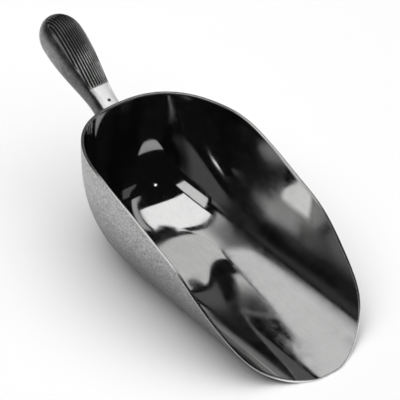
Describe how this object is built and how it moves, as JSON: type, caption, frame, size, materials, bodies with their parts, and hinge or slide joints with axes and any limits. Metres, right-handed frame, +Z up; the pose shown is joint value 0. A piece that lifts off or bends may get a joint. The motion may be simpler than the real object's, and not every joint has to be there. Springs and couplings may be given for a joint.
{
  "type": "ice scoop",
  "caption": "Cast aluminium ice scoop: a round-heeled bowl with an open sloping mouth, and a hollow ribbed handle raised behind it.",
  "frame": {"origin": "on the surface that the scoop rests on, under the middle of its bounding box", "axes": "+X points out of the mouth, +Z is up, and the scoop is symmetric about the XZ plane"},
  "size_m": [0.3889, 0.154, 0.1481],
  "materials": {
    "polished_casting": "mirror polished inside, satin with fine casting grain outside",
    "ribbed_casting": "satin casting, darkened in the grip grooves, buffed on the neck",
    "pin_steel": "dull driven pin"
  },
  "bodies": {
    "root": {"bowl": "polished_casting", "handle": "ribbed_casting", "neck_pin": "pin_steel"}
  },
  "joints": []
}
